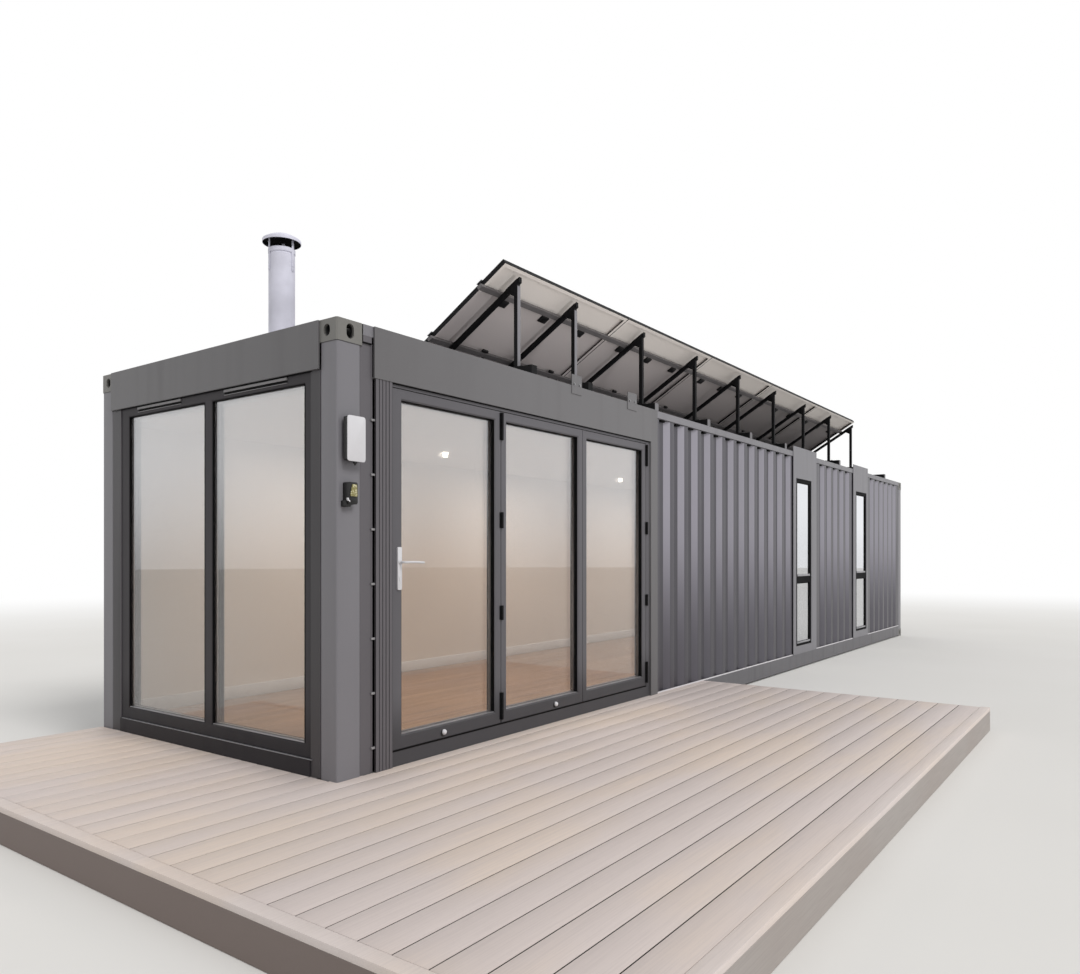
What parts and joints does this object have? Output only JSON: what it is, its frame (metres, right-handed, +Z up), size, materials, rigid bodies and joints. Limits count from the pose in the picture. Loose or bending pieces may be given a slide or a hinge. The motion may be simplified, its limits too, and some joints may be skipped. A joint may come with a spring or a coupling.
{
  "type": "shipping container cabin",
  "caption": "Long steel container cabin with a glazed end, a folding glass door, a timber-look deck and a tilted solar array on its roof.",
  "frame": {"origin": "middle of the whole outline, deck included, on the ground", "axes": "+X along the cabin from its glazed end to its blind end, +Y from the door side to the far side, +Z up"},
  "size_m": [13.392, 4.838, 3.88],
  "materials": {
    "cladding": "satin grey paint",
    "frame_steel": "satin dark grey paint",
    "hidden_steel": "dark primer",
    "window_frame": "anthracite powder coat on aluminium",
    "glass": "clear",
    "black_metal": "satin black",
    "array_metal": "mill finish",
    "solar": "dark cells in an aluminium frame, pale backing sheet",
    "white_metal": "satin pale metal",
    "white_plastic": "satin",
    "black_plastic": "satin",
    "lining": "painted boards",
    "floor_wood": "oiled oak boards",
    "plywood": "plain plywood",
    "decking": "brushed greige composite boards",
    "softwood": "treated softwood"
  },
  "bodies": {
    "root": {"bottom_rails": "cladding", "ceiling": "lining", "corner_castings": "cladding", "corner_posts": "cladding", "cross_members": "hidden_steel", "deck_boards": "decking", "deck_fascia": "decking", "deck_joists": "softwood", "deck_nosing": "decking", "door_frame": "window_frame", "door_furniture": "white_plastic", "door_glass": "glass", "door_hinges": "black_metal", "end_door_leaf": "window_frame", "far_wall_lining": "lining", "far_wall_sheet": "cladding", "flue_cowl": "white_metal", "flue_pipe": "white_metal", "front_header": "cladding", "front_sill": "window_frame", "front_window_frame": "window_frame", "jamb_cover": "frame_steel", "keypad": "black_plastic", "lead_door_leaf": "window_frame", "middle_door_leaf": "window_frame", "near_wall_lining": "lining", "near_wall_sheets": "cladding", "post_trims": "frame_steel", "rear_wall_lining": "lining", "rear_wall_sheet": "cladding", "roof_beams": "black_metal", "roof_sheet": "cladding", "side_header": "cladding", "side_window_frames": "window_frame", "solar_panels": "solar", "solar_posts": "black_metal", "solar_purlins": "array_metal", "solar_rafters": "black_metal", "subfloor_boards": "plywood", "top_rails": "cladding", "vents": "window_frame", "wall_box": "white_plastic", "window_glass": "glass", "window_surrounds": "cladding", "wood_floor": "floor_wood"}
  },
  "joints": []
}
